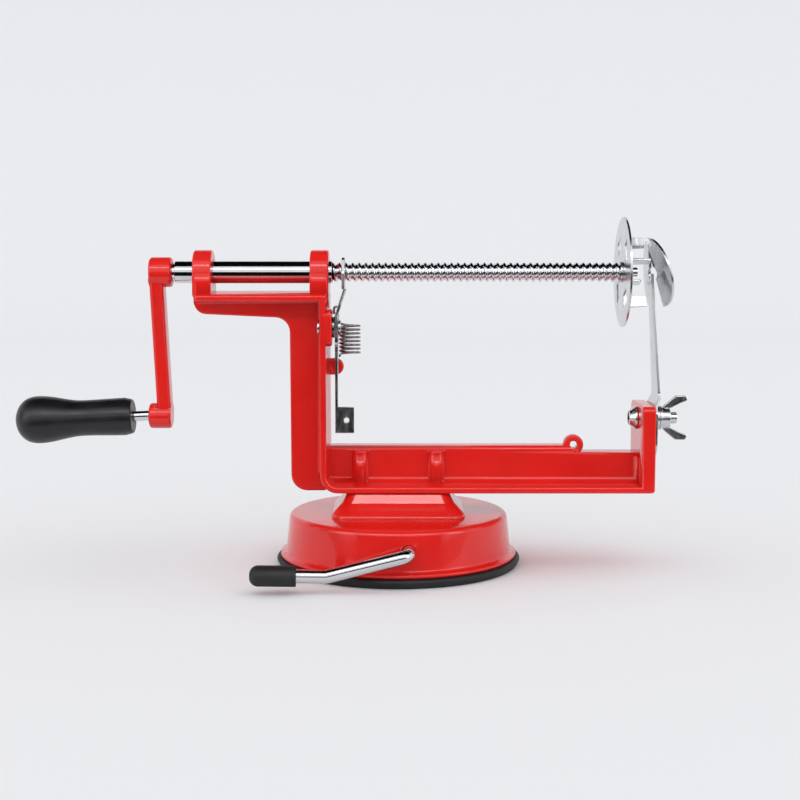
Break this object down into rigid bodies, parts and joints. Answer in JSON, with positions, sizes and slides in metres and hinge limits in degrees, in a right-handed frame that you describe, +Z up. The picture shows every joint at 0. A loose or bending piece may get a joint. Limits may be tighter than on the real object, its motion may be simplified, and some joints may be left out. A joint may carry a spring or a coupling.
{
  "type": "spiral potato cutter",
  "caption": "Hand cranked spiral potato cutter on a suction base, with a feed screw, a prong disc, a spring loaded release lever and a flat spiral blade.",
  "frame": {"origin": "centre of the suction cup's flat underside, on the table", "axes": "+X along the screw from the crank to the blade, +Y away from the release lever's side, +Z up"},
  "size_m": [0.275, 0.11, 0.1417],
  "materials": {
    "red_enamel": "gloss",
    "polished_steel": "gloss",
    "sheet_steel": "satin",
    "dark_steel": "satin",
    "black_plastic": "satin",
    "black_rubber": "matte"
  },
  "bodies": {
    "body": {"suction_cup": "black_rubber", "base_housing": "red_enamel", "base_screws": "sheet_steel", "frame_casting": "red_enamel", "bearing_tube": "polished_steel", "catch_pin": "sheet_steel", "catch_spacer": "dark_steel", "catch_spring": "dark_steel", "blade_bolt": "sheet_steel", "blade_washer": "sheet_steel"},
    "carriage": {"disc_washer": "sheet_steel"},
    "crank": {"lead_screw": "polished_steel", "crank_arm": "red_enamel", "handle_pin": "polished_steel", "prong_disc": "sheet_steel", "disc_nut": "sheet_steel"},
    "grip": {"handle_grip": "black_plastic"},
    "lever": {"suction_lever": "polished_steel", "lever_cap": "black_rubber", "lever_clip": "dark_steel"},
    "stem": {"cup_stem": "sheet_steel"},
    "catch": {"catch_lever": "sheet_steel"},
    "blade": {"blade": "sheet_steel"},
    "wing": {"wing_nut": "sheet_steel"}
  },
  "joints": [
    {"name": "feed", "type": "slide", "parent": "body", "child": "carriage", "axis": [1, 0, 0], "range_m": [-0.105, 0]},
    {"name": "crank_spin", "type": "hinge", "parent": "carriage", "child": "crank", "pos_m": [0, 0, 0.1195], "axis": [1, 0, 0], "range_deg": [-14400, 360]},
    {"name": "handle_spin", "type": "hinge", "parent": "crank", "child": "grip", "pos_m": [-0.1019, 0, 0.0609], "axis": [-0.9993, 0, -0.0384], "continuous": true},
    {"name": "catch_release", "type": "hinge", "parent": "body", "child": "catch", "pos_m": [-0.0247, -0.0095, 0.0976], "axis": [1, 0, 0], "range_deg": [0, 8], "stiffness_Nm_per_rad": 0.3, "springref_deg": -8.59, "deforming": ["catch_spring"]},
    {"name": "lever_turn", "type": "hinge", "parent": "body", "child": "lever", "pos_m": [0.004, 0, 0.0135], "axis": [0, 1, 0], "range_deg": [0, 180]},
    {"name": "stem_lift", "type": "slide", "parent": "body", "child": "stem", "axis": [0, 0, 1], "range_m": [0, 0.003]},
    {"name": "blade_swivel", "type": "hinge", "parent": "body", "child": "blade", "pos_m": [0.104, 0, 0.06], "axis": [1, 0, 0], "range_deg": [-20, 20]},
    {"name": "wing_nut_spin", "type": "hinge", "parent": "body", "child": "wing", "pos_m": [0.108, 0, 0.06], "axis": [1, 0, 0], "continuous": true}
  ],
  "couplings": [
    {"joint": "crank_spin", "follows": "feed", "rad_per_m": 2353.3},
    {"joint": "stem_lift", "follows": "lever_turn", "m_per_rad": 0.00095493}
  ]
}
